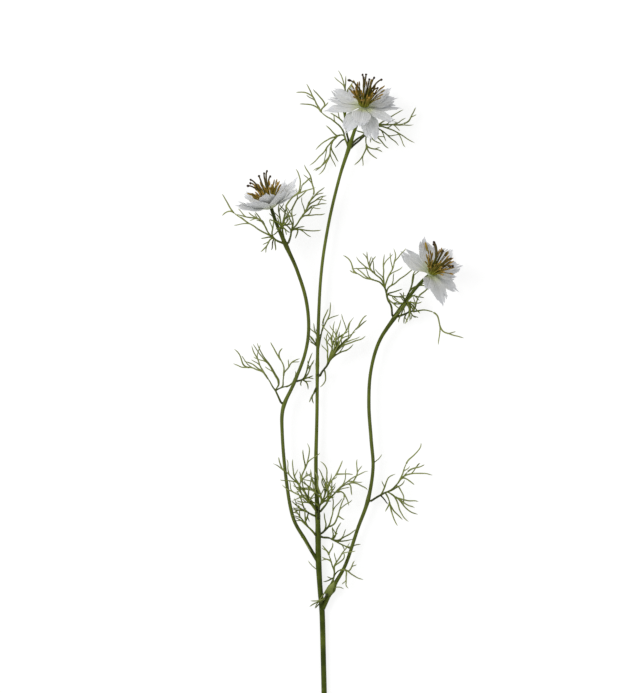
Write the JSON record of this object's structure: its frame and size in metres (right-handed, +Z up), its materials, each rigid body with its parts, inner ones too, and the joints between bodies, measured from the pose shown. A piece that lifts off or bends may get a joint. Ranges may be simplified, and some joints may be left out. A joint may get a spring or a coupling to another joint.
{
  "type": "nigella flower stem",
  "caption": "Cut branching stem of love-in-a-mist with white blooms, thread-like bracts and feathery leaves, lying flat for display.",
  "frame": {"origin": "middle of the spray's footprint, on the surface it lies on", "axes": "+Y along the stem from its cut end to the top bloom, +X to the right as seen from above, +Z up from the surface"},
  "size_m": [0.1738, 0.4731, 0.0448],
  "materials": {
    "stem": "smooth green plant stem",
    "thread": "matt olive-green thread leaf",
    "petal": "soft white petal with faint veins",
    "stamen": "golden-brown, powdery",
    "pistil": "yellow-green, slightly glossy"
  },
  "bodies": {
    "root": {"stem_main": "stem", "stem_left": "stem", "stem_right": "stem", "petals_top": "petal", "stamens_top": "stamen", "pistil_top": "pistil", "petals_left": "petal", "stamens_left": "stamen", "pistil_left": "pistil", "petals_right": "petal", "stamens_right": "stamen", "pistil_right": "pistil", "bract_top_left": "thread", "bract_top_right": "thread", "bract_top_far": "thread", "bract_top_back": "thread", "bract_left_outer": "thread", "bract_left_inner": "thread", "bract_left_under": "thread", "bract_right_outer": "thread", "bract_right_inner": "thread", "bract_right_under": "thread", "leaf_left": "thread", "leaf_between": "thread", "leaf_right": "thread", "leaf_back": "thread", "leaf_low_left": "thread", "leaf_low_right": "thread", "leaf_low_fan": "thread", "leaf_low_down": "thread", "leaf_low_rise": "thread", "leaf_low_arc": "thread", "leaf_base": "thread", "leaf_far_right": "thread"}
  },
  "joints": []
}
